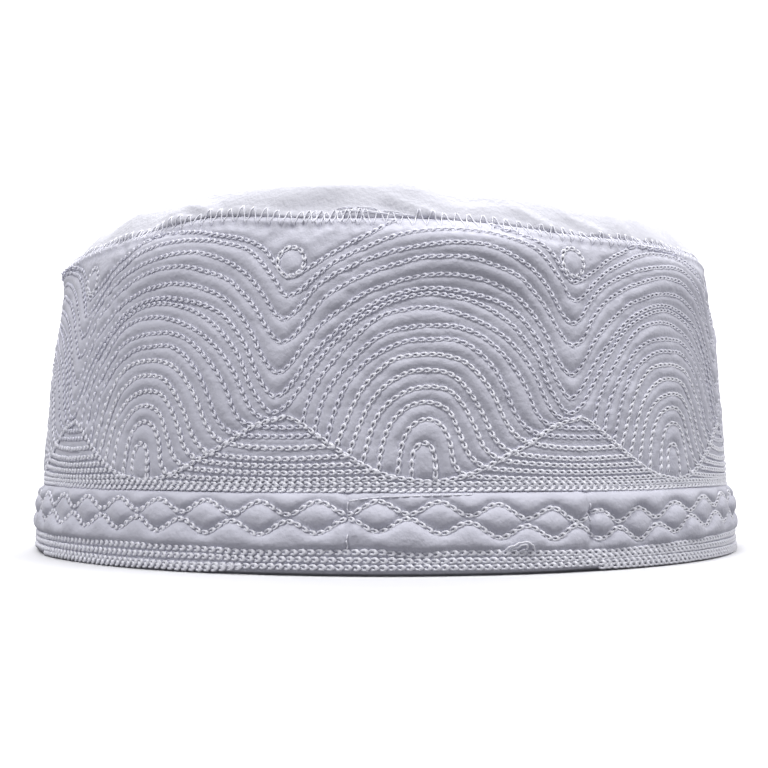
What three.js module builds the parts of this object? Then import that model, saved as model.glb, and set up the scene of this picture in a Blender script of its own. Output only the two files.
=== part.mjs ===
// A kufi: a brimless round cap of white quilted cloth. Three sewn pieces make it up:
// a tapered side wall quilted in arched panels, a soft flat crown sewn to the wall's top edge,
// and a padded headband that is folded round the wall's bottom edge.
// Millimetres, +Z up, origin on the table at the middle of the rim. Angles are in degrees
// round the cap, 0 at the front (-Y) and 90 at +X.
import * as THREE from "three";

// Overall form
const FOOT_RADIUS = 94; // outer face of the wall, carried down to the table
const SEAM_RADIUS = 86.9; // outer face of the wall where the crown is sewn on
const SEAM_HEIGHT = 74.5;
const CROWN_RISE = 9.4; // top of the crown above the seam

// Cloth thicknesses and the room left between sewn pieces
const WALL = 2.4;
const TAIL_WALL = 1.1; // the wall's bottom edge, pressed flat inside the headband
const CROWN_WALL = 2;
const BAND_WALL = 2;
const TURN_WALL = 1; // the headband's edge, turned up inside
const FOLD_WALL = 1.2; // the headband under the wall, where the cap rests
const CLEARANCE = 0.3;

// Headband
const BAND_HEIGHT = 16.8;
const TURN_HEIGHT = 12;
const BAND_PROUD = 1.5; // how far the headband stands out from the wall
const WAVES = 48; // almond-shaped puffs between the headband's two stitched waves
const ALMOND_PUFF = 0.7;
const ALMOND_LINE = 0.7; // height of the almonds' middle, as a share of the headband's
const ALMOND_SPREAD = 0.16; // how soon they die away above and below it, as such a share
const WAVE_PHASE = -1; // angle of the almond nearest the front

// Quilted wall
const PANELS = 9;
const PANEL_PHASE = 7.2; // angle of the front panel's middle
const PANEL_PUFF = 0.7; // how far a panel swells out between its two valleys

// Columns of faces round each piece
const BAND_COLUMNS = 2 * WAVES;
const WALL_COLUMNS = 12 * PANELS;
const CROWN_COLUMNS = 72;

// How the wall leans in: height as a share of the seam's, lean as a share of the whole taper
const LEAN = [
  { height: 0, lean: 0 },
  { height: 0.22, lean: 0.13 },
  { height: 0.37, lean: 0.21 },
  { height: 0.52, lean: 0.29 },
  { height: 0.66, lean: 0.41 },
  { height: 0.8, lean: 0.54 },
  { height: 0.88, lean: 0.68 },
  { height: 0.95, lean: 0.86 },
  { height: 1, lean: 1 },
];

// The crown from its seam to its middle: shares of the seam's radius and of the crown's rise
const CROWN_SECTION = [
  { radius: 1, rise: 0 },
  { radius: 1.003, rise: 0.16 },
  { radius: 0.994, rise: 0.34 },
  { radius: 0.974, rise: 0.51 },
  { radius: 0.944, rise: 0.63 },
  { radius: 0.9, rise: 0.72 },
  { radius: 0.83, rise: 0.8 },
  { radius: 0.7, rise: 0.88 },
  { radius: 0.5, rise: 0.95 },
  { radius: 0.26, rise: 1 },
  { radius: 0, rise: 1 },
];

// Where the seam wanders up or down: lift as a share of the crown's rise
const SEAM_WAVER = [
  { angle: -27, spread: 12, lift: 0.23 },
  { angle: 29, spread: 14, lift: -0.17 },
  { angle: 74, spread: 14, lift: 0.08 },
  { angle: -78, spread: 16, lift: -0.12 },
  { angle: 128, spread: 15, lift: -0.12 },
  { angle: -140, spread: 18, lift: 0.14 },
];

// Soft folds over the crown's shoulder: lift as a share of the crown's rise, reach as a share
// of the seam's radius, measured in from the wall's inner face
const CROWN_FOLDS = [
  { angle: -6, spread: 10, lift: 0.21, reach: 0.3 },
  { angle: 15, spread: 8, lift: -0.13, reach: 0.25 },
  { angle: -30, spread: 12, lift: -0.1, reach: 0.3 },
  { angle: 96, spread: 10, lift: 0.1, reach: 0.35 },
  { angle: 152, spread: 12, lift: -0.1, reach: 0.3 },
  { angle: -112, spread: 9, lift: 0.1, reach: 0.3 },
];

const FOLD_CREST = 0.03; // where each fold is highest, as such a share
const SEAM_REACH = 0.5; // the seam's waver dies away at this share of the seam's radius

// Levels of the modelled rings of faces, as shares of the piece's height
const BAND_LEVELS = [0.3, 0.45, 0.58, 0.7, 0.82, 0.92];
const QUILT_LEVELS = [0.3, 0.38, 0.46, 0.55, 0.64, 0.73, 0.82, 0.88, 0.94];
const LINING_LEVELS = [0.94, 0.88, 0.8, 0.66, 0.48];

const radians = (angle) => THREE.MathUtils.degToRad(angle);

// Angle from a to b the short way round, in degrees
function between(a, b) {
  return THREE.MathUtils.euclideanModulo(b - a + 180, 360) - 180;
}

// A soft bump round the cap that is 1 at its own angle and dies away over its spread
function bump({ angle, spread }, at) {
  return Math.exp(-((between(angle, at) / spread) ** 2));
}

// Outer radius of the wall at a height, before its panels swell
function wallRadius(height) {
  const share = THREE.MathUtils.clamp(height / SEAM_HEIGHT, 0, 1);
  const above = LEAN.findIndex((row, i) => i > 0 && row.height >= share);
  const [low, high] = [LEAN[above - 1], LEAN[above]];
  const lean = THREE.MathUtils.mapLinear(share, low.height, high.height, low.lean, high.lean);
  return FOOT_RADIUS - (FOOT_RADIUS - SEAM_RADIUS) * lean;
}

// How far the seam stands above or below its plain height
function seamLift(angle) {
  return SEAM_WAVER.reduce((sum, row) => sum + CROWN_RISE * row.lift * bump(row, angle), 0);
}

// Swell of the quilted panels: none in the valleys between them, at the seam or at the headband
function panelSwell(angle, height) {
  const pitch = 360 / PANELS;
  const across = (2 * between(PANEL_PHASE, angle)) / pitch;
  const offMiddle = Math.abs(THREE.MathUtils.euclideanModulo(across + 1, 2) - 1);
  const up = (height - BAND_HEIGHT) / (SEAM_HEIGHT - BAND_HEIGHT);
  const fullness = Math.sqrt(Math.sin(Math.PI * THREE.MathUtils.clamp(up, 0, 1)));
  return PANEL_PUFF * (1 - offMiddle ** 3) * fullness;
}

// Swell of the headband: almonds along its middle, a plain roll above and below them
function bandSwell(angle, height) {
  const up = height / BAND_HEIGHT;
  const nearMiddle = Math.exp(-(((up - ALMOND_LINE) / ALMOND_SPREAD) ** 2));
  const almond = Math.cos(radians(WAVES * (angle - WAVE_PHASE)));
  return ALMOND_PUFF * nearMiddle * almond;
}

// Turns a closed section round the cap, then puts each point where place says
function turned(section, columns, place) {
  const profile = section.map((point) => new THREE.Vector2(point.radius, point.height));
  const geometry = new THREE.LatheGeometry(profile, columns);
  const position = geometry.getAttribute("position");
  for (let v = 0; v < position.count; v++) {
    const point = section[v % section.length];
    const angle = (360 * Math.floor(v / section.length)) / columns;
    const { radius, height } = place(point, angle);
    const turn = radians(angle);
    position.setXYZ(v, radius * Math.sin(turn), -radius * Math.cos(turn), height);
  }
  geometry.computeVertexNormals();
  return geometry;
}

function cloth(colour, roughness) {
  return new THREE.MeshStandardMaterial({ color: colour, roughness, metalness: 0 });
}

// Offsets from the wall's outer face, inwards, of the pieces nested at the headband
const BAND_INSIDE = BAND_WALL - BAND_PROUD;
const TAIL_OUTSIDE = BAND_INSIDE + CLEARANCE;
const TAIL_INSIDE = TAIL_OUTSIDE + TAIL_WALL;
const TURN_OUTSIDE = TAIL_INSIDE + CLEARANCE;
const TURN_INSIDE = TURN_OUTSIDE + TURN_WALL;

// One point of a section: so far inside the wall's outer face at a height
function inFrom(offset, height, face = "plain") {
  return { radius: wallRadius(height) - offset, height, face };
}

// Headband: a strip folded round the wall's bottom edge, its padded side out
function headband() {
  const edge = BAND_WALL / 3; // rounding of the top edge and of the fold at the table
  const section = [
    inFrom(TURN_INSIDE - edge, 0),
    inFrom(edge - BAND_PROUD, 0),
    inFrom(-BAND_PROUD, edge),
    ...BAND_LEVELS.map((share) => inFrom(-BAND_PROUD, BAND_HEIGHT * share, "padded")),
    inFrom(-BAND_PROUD + edge, BAND_HEIGHT),
    inFrom(BAND_INSIDE, BAND_HEIGHT - edge),
    inFrom(BAND_INSIDE, FOLD_WALL),
    inFrom(TURN_OUTSIDE, FOLD_WALL),
    inFrom(TURN_OUTSIDE, TURN_HEIGHT),
    inFrom(TURN_INSIDE, TURN_HEIGHT),
    inFrom(TURN_INSIDE, edge),
  ];
  section.push(section[0]);
  const place = (point, angle) => ({
    radius: point.radius + (point.face === "padded" ? bandSwell(angle, point.height) : 0),
    height: point.height,
  });
  const piece = new THREE.Mesh(turned(section, BAND_COLUMNS, place), cloth(0xe9e9f0, 0.8));
  piece.name = "headband";
  return piece;
}

// Side wall: quilted above the headband, a flat tail inside it
function sideBand() {
  const start = BAND_HEIGHT + CLEARANCE;
  const section = [
    inFrom(TAIL_INSIDE, FOLD_WALL + CLEARANCE),
    inFrom(TAIL_OUTSIDE, FOLD_WALL + CLEARANCE),
    inFrom(TAIL_OUTSIDE, start),
    inFrom(0, start),
    ...QUILT_LEVELS.map((share) => inFrom(0, SEAM_HEIGHT * share, "quilted")),
    inFrom(0, SEAM_HEIGHT),
    inFrom(WALL, SEAM_HEIGHT),
    ...LINING_LEVELS.map((share) => inFrom(WALL, SEAM_HEIGHT * share)),
    inFrom(WALL, start),
    inFrom(TAIL_INSIDE, start - CLEARANCE),
  ];
  section.push(section[0]);
  const place = (point, angle) => {
    const up = THREE.MathUtils.clamp((point.height - start) / (SEAM_HEIGHT - start), 0, 1);
    return {
      radius: point.radius + (point.face === "quilted" ? panelSwell(angle, point.height) : 0),
      height: point.height + seamLift(angle) * up ** 3,
    };
  };
  const piece = new THREE.Mesh(turned(section, WALL_COLUMNS, place), cloth(0xe6e6ee, 0.85));
  piece.name = "side_band";
  return piece;
}

// Crown: a soft disc whose shoulder rolls over to the seam
function crownTop() {
  const outer = CROWN_SECTION.map((row) => ({
    radius: SEAM_RADIUS * row.radius,
    height: SEAM_HEIGHT + CLEARANCE + CROWN_RISE * row.rise,
  }));
  const inner = outer.map((point, i) => {
    const before = outer[Math.max(i - 1, 0)];
    const after = outer[Math.min(i + 1, outer.length - 1)];
    const along = new THREE.Vector2(after.radius - before.radius, after.height - before.height);
    along.normalize();
    const atSeam = i === 0;
    return {
      radius: Math.max(point.radius - CROWN_WALL * (atSeam ? 1 : along.y), 0),
      height: point.height + CROWN_WALL * (atSeam ? 0 : along.x),
    };
  });
  inner[inner.length - 1].radius = 0;
  const section = [...inner.reverse(), ...outer];
  const place = (point, angle) => {
    const lining = SEAM_RADIUS - WALL - CLEARANCE;
    const inwards = (lining - point.radius) / SEAM_RADIUS;
    const folds = CROWN_FOLDS.reduce((sum, row) => {
      const up = THREE.MathUtils.smoothstep(inwards, 0, FOLD_CREST);
      const down = 1 - THREE.MathUtils.smoothstep(inwards, FOLD_CREST, row.reach);
      return sum + CROWN_RISE * row.lift * bump(row, angle) * up * down;
    }, 0);
    const nearSeam = THREE.MathUtils.smoothstep(point.radius, SEAM_RADIUS * SEAM_REACH, lining);
    return { radius: point.radius, height: point.height + seamLift(angle) * nearSeam + folds };
  };
  const piece = new THREE.Mesh(turned(section, CROWN_COLUMNS, place), cloth(0xf0f0f5, 0.85));
  piece.name = "crown_top";
  return piece;
}

const kufi = new THREE.Group();
kufi.name = "kufi";
kufi.add(headband(), sideBand(), crownTop());

export default kufi;
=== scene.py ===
# The kufi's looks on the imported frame: padded and quilted cloth, a soft crown and the sewing.
# Lengths are in millimetres until a mesh is made. A place on the side of the cap is (u, z):
# u runs round it at GAUGE_RADIUS, from the front towards +X, and z is the height above the table.
import math

import bmesh
import bpy
import numpy as np
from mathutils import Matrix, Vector


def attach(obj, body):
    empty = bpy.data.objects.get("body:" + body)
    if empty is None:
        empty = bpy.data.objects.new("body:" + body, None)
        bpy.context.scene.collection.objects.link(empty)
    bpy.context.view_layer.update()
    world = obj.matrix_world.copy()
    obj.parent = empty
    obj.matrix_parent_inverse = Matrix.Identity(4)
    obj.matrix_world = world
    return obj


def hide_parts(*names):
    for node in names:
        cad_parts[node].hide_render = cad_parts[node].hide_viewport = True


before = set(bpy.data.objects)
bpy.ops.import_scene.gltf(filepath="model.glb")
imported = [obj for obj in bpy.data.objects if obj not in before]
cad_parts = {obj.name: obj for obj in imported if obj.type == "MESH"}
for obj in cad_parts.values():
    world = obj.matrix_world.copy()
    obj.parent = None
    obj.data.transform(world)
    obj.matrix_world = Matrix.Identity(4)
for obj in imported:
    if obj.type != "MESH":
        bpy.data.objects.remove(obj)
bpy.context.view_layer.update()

MM = 0.001
GAUGE_RADIUS = 93.0
ROUND = 2 * math.pi * GAUGE_RADIUS
CURVE_STEPS = 12  # points of a smooth curve from each given point to the next
ROUND_POINTS = 1800  # points of a line all round the cap
GRID_COLUMNS = 890  # of the wall's and the headband's mesh
CROWN_COLUMNS = 480

# Side wall
PANELS = 9
PITCH = ROUND / PANELS
VALLEY = -21.0  # u of the valley on the left of the front panel
FRONT_PANEL = (14.0, 24.0)  # u of the front panel's middle, and its reach to each side
PANEL_SWELL = 0.3
PANEL_RIDGE = 0.45  # share of a panel from its valley to the ridge of its swell
WALL_FOOT = 12.6
WALL_THICKNESS = 2.4
SEAM_HEIGHT = 74.5
SEAM_SETBACK = 0.35
SETBACK_REACH = 0.7
SWELL_START = 2.5  # how far below the seam the swellings have grown
SEAM_LID = (0.5, 0.9, 1.5, 7.0)  # padding's limit by the seam, its growth, and from and over what distance
LINING_STRETCH = 3  # of the weave's map over the wall's upper edge and lining

# Puckers of the padding: on the level parts, what the arches' left slopes add, and where those lie
LEVEL_PUCKERS = 0.16
SLOPE_PUCKERS = 0.38
SLOPE_START = -26.0
SLOPE_MIDDLE = 17.0
SLOPE_SPREAD = 10.0
PUCKER_LENGTH = 3.4

# How uneven the padding is, and over what length. The grid that it is worked out on, how far its
# skin carries, and how many times it is relaxed
UNEVEN = 0.35
UNEVEN_LENGTH = 7.0
PAD_CELL = 0.33
PAD_REACH = 2.0
PAD_PASSES = 420

# Headband
BAND_TOP = 16.8
TURN_TOP = 12.2
BAND_INSIDE = 90.2
RIM_LIFT_REACH = 4
LINING_SHIFT = 40  # of the weave's map on the headband's inside
WAVES = 48
WAVE_CREST = -1.5  # u of a crest of the upper wave
UPPER_WAVE = (13.85, 1.25)  # middle height and swing
LOWER_WAVE = (9.65, 1.3)
JOIN_GROOVE = (0.55, 0.8)  # depth and half width
JOIN_PUCKERS = (0.16, 6.0, 3.1)  # height, reach and length
ROWS_TOP = 5.5  # top of the hem's rows, which cover most of the joins' grooves

# Crown
CROWN_TUCK = 1.0  # how much of its section is tucked in the seam
CROWN_EDGE = 84.2  # radius at which the crown's folds and its sag start
FOLD_START = 2.6  # how far inwards its folds have grown
CROWN_PULL = (0.16, 40, 13.0, 26)  # wrinkles drawn to the seam: height, fading, length and seed
BULGE_REACH = 5.5
BULGE_SHIFT = 2.0  # how far over the seam the crown bulges as much as the wall does at it

# Thread
LINK_PITCH = 1.72
LINK_OVERLAP = 1.05  # length of a link against its pitch
SEAM_CLEAR = 0.45  # chain stitches stop this far below the crown seam
HEAVY_BELOW = 31.0  # stitches below this height are wider
HEAVY_WIDTH = 1.12
SEAM_STITCH = 3.05  # from one point of the crown seam's zigzag to the next
SEAM_UP = 2.3  # reach of its stitches over the seam and under it
SEAM_DOWN = 2.0
SEAM_DENT = (0.75, 0.75, 0.9)  # at a stitch's lower end: depth, half width and half height
SEAM_PUFF = (0.45, 1.0, 1.2, 1.0)  # between stitches: rise, half width, distance below, half height
RUNNING_PITCH = 2.1  # of the headband's running stitch
RUNNING_STITCH = 1.75

# One side of a chain stitch's loop and its bend: places along, aside and up, and half thickness
LINK_SIDE = [
    (-0.57, 0.05, -0.38, 0), (-0.4, 0.16, -0.15, 0.18), (-0.15, 0.33, 0.01, 0.23), (0.15, 0.38, 0.11, 0.25),
]
LINK_BEND = (0.43, 0.0, 0.22, 0.3)

# Height of a plain stitch's thread along its course, in shares: it starts and ends in the cloth
STITCH_RISE = [-1.6, 0.6, 1, 1, 1, 1, 1, 0.6, -1.6]

# Random dents of the cloth: height, length and seed
WALL_DENTS = [(0.35, 48.0, 11), (0.16, 17.0, 12)]
BAND_DENTS = [(0.25, 40.0, 13)]
CROWN_SAG = [(0.55, 46.0, 21), (0.25, 24.0, 22)]
SEAM_WRINKLES = [(0.3, 11.0, 24), (0.1, 5.5, 25)]

# Outer face of the wall in its stitched valleys: height and radius
WALL_FACE = [
    (12, 92.9), (20, 92.5), (28, 92.0), (39, 91.4), (49.5, 90.5),
    (60, 89.1), (66, 88.0), (71, 86.9), (75, 86.0), (79, 85.1),
]

# Where the wall swells out: place, spread round and up, and rise
SWELLINGS = [
    ((16.0, 71.0), 20.0, 9.5, 3.9), ((34.0, 64.0), 12.0, 9.0, 1.2), ((-14.0, 62.5), 12.0, 6.0, 0.8),
    ((-54.0, 69.0), 20.0, 6.5, 1.7), ((86.0, 67.5), 24.0, 6.5, 1.7),
]

# Where the crown seam stands out at the sides: place, spread and rise
SEAM_BULGES = [(122.0, 20.0, 1.6), (-122.0, 20.0, 2.3)]

# Outer face of the headband in its stitched valleys: height and radius
BAND_FACE = [(0, 94.7), (5, 94.4), (10, 94.1), (17, 93.5)]

# Section of the crown from its tucked edge to its middle: radius and height above the seam
CROWN_FACE = [
    (84.6, 0.15), (85.3, 0.05), (85.6, 0.35), (85.1, 1.4), (84.1, 3.0), (82.6, 4.9), (80.6, 6.8),
    (77.9, 8.6), (74.0, 10.1), (68.0, 11.0), (58.0, 11.2), (40.0, 10.6), (20.0, 10.0), (0.0, 9.8),
]
CROWN_SPACING = 0.9

# Section of the crown's inside, from its middle to its edge
CROWN_LINING = [
    (0, 8.2), (20, 8.4), (40, 9.0), (58, 9.6), (67, 9.4), (72.5, 8.5), (76.3, 7.0), (79.0, 5.3),
    (81.2, 3.4), (82.8, 1.6), (83.6, 0.3),
]
LINING_SPACING = 3.5

# Where the seam wanders up or down: place round the cap, spread and lift
SEAM_WAVER = [
    (-43.8, 19.5, 2.15), (47.1, 22.7, -1.6), (120.1, 22.7, 0.75),
    (-126.6, 26.0, -1.1), (207.8, 24.3, -1.1), (-227.2, 29.2, 1.3),
]

# Soft folds over the crown's shoulder: place round the cap, spread, lift and reach inwards
CROWN_FOLDS = [
    (-17.0, 14.0, 2.4, 36), (3.0, 9.0, 1.2, 36), (21.0, 9.5, -1.2, 22), (-52.0, 14.0, -0.5, 26),
    (52.0, 12.0, 0.9, 34), (77.0, 12.0, 1.2, 34), (-76.0, 9.0, 1.1, 30), (-101.0, 10.0, 1.2, 30),
    (155.8, 16.2, 0.95, 30), (246.7, 19.5, -0.95, 26), (-181.8, 14.6, 0.95, 26),
]

# Creases in the cloth of the side: from, to, depth and half width. One less than nought stands up
CREASES = [
    ((-26.5, 70.0), (-19.5, 73.6), 0.6, 1.5),
    ((-17.6, 68.6), (-11.0, 72.4), -0.45, 1.2),
    ((-30.0, 72.0), (-27.0, 73.8), 0.35, 1.1),
    ((37.5, 70.0), (41.0, 73.5), 0.35, 1.2),
    ((48.0, 70.5), (51.5, 74.0), 0.35, 1.2),
]

# Where the crown seam's stitches reach less far up: place, spread and loss of height
LOW_STITCHES = [(78.0, 38.0, 1.0), (-125.0, 42.0, 0.9)]

# Where the headband's waves dip or climb: place round the cap, spread and lift
WAVE_DIPS = [(50.0, 27.0, -2.5), (-24.0, 14.0, -0.25), (150.0, 30.0, 0.5), (-160.0, 34.0, -0.6)]

# Where the waves crowd or spread: place round the cap, spread and shift
WAVE_SHIFTS = [(61.0, 17.0, 2.0), (100.0, 14.0, -2.4)]

# Where the rim stands a little off the table: place round the cap, spread and lift
RIM_LIFTS = [(60.0, 22.0, 0.3)]

# Where the hem's rows crowd together, towards one height: place, spread and share of the way
ROW_DIPS = [(46.0, 24.0, -0.375), (7.0, 5.0, -0.18), (-27.0, 8.0, -0.12), (-160.0, 40.0, -0.18)]
ROW_LEVEL = 2.1

# Where the lower wave comes close to the upper one: place, spread and lift
WAVE_RISE = [(0.0, 15.0, 0.75), (42.0, 10.0, 0.9), (74.0, 8.0, 0.5), (-110.0, 12.0, 0.5), (215.0, 14.0, 0.7)]

# Folds in the crown beside its seam: from and to as places and distances from the seam, height, width
CROWN_CREASES = [
    ((0.5, 4.8), (11.0, 1.0), 0.65, 1.3),
    ((-24.0, 4.0), (-12.0, 6.0), 0.4, 2.0),
    ((33.0, 4.5), (39.5, 1.0), 0.5, 1.6),
    ((48.0, 5.0), (56.0, 1.2), 0.45, 1.5),
    ((-52.0, 5.0), (-44.0, 1.2), 0.45, 1.6),
    ((130.0, 5.5), (142.0, 1.0), 0.5, 1.8),
    ((-190.0, 6.0), (-176.0, 1.0), 0.5, 1.8),
    ((240.0, 5.0), (252.0, 1.2), 0.5, 1.7),
]

# Rows of one panel that run on round the whole cap, lowest first but for the last two: the highest
# row, and the one under it
LONG_ROWS = [
    [(-24.4, 33.2), (-21.2, 34.4), (-17.7, 38.8), (-14.3, 43.8), (-10, 48.5), (-5, 52.9), (0.3, 55.6),
     (5, 57.1), (10, 57.7), (15, 57.1), (20.3, 55.6), (25.3, 52.9), (29.5, 49.3), (33, 44.8), (36, 38.4)],
    [(-23.7, 36.4), (-20.6, 38.4), (-17, 43.5), (-13, 47.8), (-8, 52), (-4, 54.9), (0.3, 56.9),
     (6, 58.5), (12, 58.8), (18, 57.9), (23.5, 56.5), (28, 54.3), (31.5, 51), (34.5, 46.8), (37.5, 40.6)],
    [(-23, 41.4), (-20.3, 43.3), (-17.2, 47.7), (-13.7, 51.5), (-8.3, 55.4), (-4.3, 57.9), (0, 59.5),
     (6, 61.1), (13, 61.8), (18.5, 61.3), (24, 59.8), (28.3, 57.7), (32.3, 54.2), (35.7, 49.5), (38.7, 44)],
    [(-22.6, 47.8), (-19.6, 49.2), (-17, 53), (-12.7, 57.3), (-8, 60.1), (-3, 62.3), (2, 63.8),
     (8, 65.2), (13.5, 65.5), (18.5, 65.2), (24, 63.7), (29, 61.8), (32.5, 59), (36, 55.3), (39.2, 50.6)],
    [(-22.1, 52.6), (-19.7, 54.1), (-16.5, 57.9), (-12.7, 61), (-8, 63.3), (-2.7, 65.4), (3.3, 66.9),
     (10, 68), (16, 68.5), (22, 68), (27.3, 66.3), (31.3, 64.3), (34.7, 61.6), (38, 57.8), (40.5, 54.2)],
    [(-21.1, 61.6), (-18.5, 62.6), (-15, 64.5), (-10.7, 67), (-6.7, 69), (-3, 70.4), (0, 71.8), (3.5, 73.1),
     (8, 73.8), (14, 73.6), (20, 73.1), (23.5, 72.3), (29.6, 71.2), (34.6, 69.7), (38, 67.4), (40.7, 64),
     (42.3, 62.3)],
    [(-21.4, 57.6), (-18.7, 58.7), (-14.7, 62), (-9.7, 65.3), (-5, 67.3), (0.7, 69.5), (6.7, 70.8),
     (14, 71.4), (22.3, 71), (27.3, 70), (31.3, 69), (34.7, 67.3), (38, 64), (41, 60.3), (42.4, 58.2)],
]

# Rows of one panel that start at the scalloped line under it, smallest first. All but the first
# and the last run on as the level rows of the triangle on the right.
SHORT_ROWS = [
    [(5.3, 19.6), (5.3, 23.2), (5.9, 25.4), (7.4, 26.8), (9, 26.2), (9.9, 24), (10.1, 19.4)],
    [(2.3, 20.2), (3.5, 27.2), (5.5, 30.4), (8.3, 31.6), (11, 30.7), (12.9, 27.8), (14, 22.6), (15.9, 20.4),
     (20, 19.8), (43, 19.2), (67, 19.6)],
    [(-1.5, 21), (-0.8, 26), (1, 30.7), (4.5, 34.1), (9, 35.1), (13, 33.3), (15.3, 28.5), (17.5, 24),
     (20.5, 21.9), (26, 21.2), (43, 20.6), (63, 21)],
    [(-4.8, 22.6), (-2.6, 30.5), (0, 34.4), (4, 37.2), (9, 38.3), (13, 37.6), (16, 34.7), (18.4, 30.3),
     (20.6, 25.6), (24, 23.4), (30, 22.6), (43, 22), (60, 22.4)],
    [(-7.6, 24.4), (-5.3, 30.7), (-2.8, 35.6), (0.8, 39.2), (5, 41.3), (9.5, 41.7), (13.5, 40.9),
     (17, 37.8), (20, 33.2), (22.8, 27.7), (26, 25), (31, 24.1), (43, 23.5), (57, 24.1)],
    [(-10.3, 25.9), (-8, 31.8), (-5.3, 37.3), (-2, 41.2), (2, 44), (7, 44.9), (12, 44.8), (16.5, 43.4),
     (20, 40.3), (23, 36), (25.3, 31.2), (28, 28), (32, 26.6), (43, 25.7), (54, 26.2)],
    [(-12.3, 27.2), (-10.4, 34), (-8.3, 38.6), (-4.7, 42.9), (0, 46), (4.5, 47.7), (10, 48.1),
     (15, 47.9), (19, 45.9), (22.5, 42.5), (25.3, 37.8), (27.8, 32.4), (30.5, 29.6), (34.5, 28.5),
     (43, 28.1), (51, 28.3)],
    [(-15, 28.9), (-13.4, 35), (-11.3, 39), (-8, 42.9), (-4, 46.9), (0.3, 49.5), (5, 50.6), (10, 51),
     (15.5, 50.7), (20, 49), (24, 46), (27.7, 42), (30.5, 37.5), (32.3, 33.4), (34.3, 31.3),
     (38, 30.3), (43, 30), (47.8, 30.2)],
    [(-17.6, 30.4), (-16.3, 35.5), (-13, 41.4), (-9.3, 45.7), (-5, 50), (-1.3, 52.8), (4, 54.3),
     (9, 54.7), (14, 54), (19.5, 52.2), (24, 49.8), (28.3, 46.3), (32, 41.5), (34.5, 36.6),
     (36.6, 33.3), (39.3, 31.9), (41.6, 31.9), (44, 32.4)],
]

# The scalloped line of one panel, from peak to peak
SCALLOP = [
    (-21.2, 32.3), (-18.8, 31.4), (-15, 28.9), (-10, 25.5), (-5, 22.5), (0, 20.3), (5, 19.3),
    (9, 18.9), (15, 19.7), (20, 21.5), (25, 24), (30, 26.4), (35, 29.4), (39, 31.1), (42, 31.7),
    (VALLEY - 0.4 + PITCH, 32.2),
]
FOOT_ROWS = [18.3, 17.2]
RING_HEIGHT = 66.1
RING_RADIUS = 3.15
FRONT_RING_DROP = -1.1

# The highest row: where it climbs under the crown seam, how far below the seam it stays on the other
# panels, and how much more room it has on the front one
HIGHEST = 5
TOP_ROW_LIFTS = [(14.0, 13.0, 2.4)]
TOP_ROW_GAP = 1.4
TOP_ROW_ROOM = 6.0

# Rows along the hem, and second runs of the lowest one on the left and on the right
BAND_ROWS = [4.95, 3.35, 1.7]
LEFT_RUN = [
    (-98, 0.8), (-84, 0.95), (-72, 0.75), (-60, 0.85), (-50, 1.0), (-42, 0.95), (-35, 1.1), (-29, 1.6),
]
RIGHT_RUN = [(46, 1.05), (53, 0.98), (62, 0.92), (78, 0.95), (96, 0.9), (112, 0.95), (128, 1.3)]

# Joins of the headband's cloth, the heights of the stitches across each, and the running stitch
# along its edge between them
JOINS = [-7.6, 44.0]
JOIN_STITCHES = [(6.2, 7.3, 8.4, 13.6, 14.8), (11.6, 14.2)]
TOPSTITCH = [(-7.3, 15.1), (-3, 15.7), (6, 16.1), (19, 16.35)]

# The tangled second run of seam thread: places round the cap and above the seam, and its zigzag
TANGLES = [
    [(-11.8, 2.6), (-7.2, 2.4), (-1.0, 2.0), (5.2, 0.9)],
    [(-10.8, 1.5), (-5.4, 1.1), (1.5, 0.8), (7.2, 0.3)],
]
SECOND_ZIGZAG = (-20.0, -7.0)
ZIGZAG_CORNERS = [(0.5, -1.6), (1.9, 2.3), (3.5, -1.6)]

# Loops of thread that have come loose from the hem's top row
LOOSE_LOOPS = [
    [(23.3, 4.3), (24.0, 5.2), (25.6, 6.1), (27.3, 6.7), (28.9, 6.4), (29.9, 5.5), (30.3, 4.4)],
    [(24.6, 4.2), (25.0, 5.1), (26.6, 5.8), (27.8, 6.3), (28.2, 5.4), (27.4, 4.7), (28.8, 4.2)],
]
LOOP_POINTS = 40


# Curves on the side

def mixed(a, b, start, end, x):
    """What lies at x on the way from a, at start, to b, at end"""
    return ((end - x) * a + (x - start) * b) / (end - start)


def through(points, pitch=0.0):
    """A smooth curve through points. With a pitch it runs on to where the next copy starts."""
    points = np.array(points, float)
    if pitch:
        on = np.array([pitch, 0.0])
        held = np.vstack([points[-1] - on, points, points[0] + on, points[1] + on])
    else:
        held = np.vstack([2 * points[0] - points[1], points, 2 * points[-1] - points[-2]])
    parts = []
    for four in zip(held, held[1:], held[2:], held[3:]):
        gaps = [math.dist(a, b) ** 0.5 for a, b in zip(four, four[1:])]
        t = np.concatenate([[0.0], np.cumsum(gaps)])
        x = np.linspace(t[1], t[2], CURVE_STEPS, endpoint=False)[:, None]
        low = [mixed(four[i], four[i + 1], t[i], t[i + 1], x) for i in range(3)]
        middle = [mixed(low[i], low[i + 1], t[i], t[i + 2], x) for i in range(2)]
        parts.append(mixed(middle[0], middle[1], t[1], t[2], x))
    parts.append(held[-2:-1])
    return np.vstack(parts)


def run_of(line):
    """Distance along a line at each of its points"""
    return np.concatenate([[0.0], np.cumsum(np.linalg.norm(np.diff(line, axis=0), axis=1))])


def along(line, distances):
    """Points of a line at distances from its start"""
    run = run_of(line)
    return np.column_stack([np.interp(distances, run, line[:, i]) for i in range(line.shape[1])])


def evenly(line, spacing):
    """Points of a line about a spacing apart, both ends included"""
    length = run_of(line)[-1]
    return along(line, np.linspace(0, length, max(round(length / spacing), 1) + 1))


def copies(line):
    """A panel's line on each panel"""
    return [line + [PITCH * k, 0.0] for k in range(PANELS)]


def round_line(height_at):
    """A line all round the cap at the height that a function gives"""
    u = np.linspace(0, ROUND, ROUND_POINTS)
    return np.column_stack([u, height_at(u)])


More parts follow.
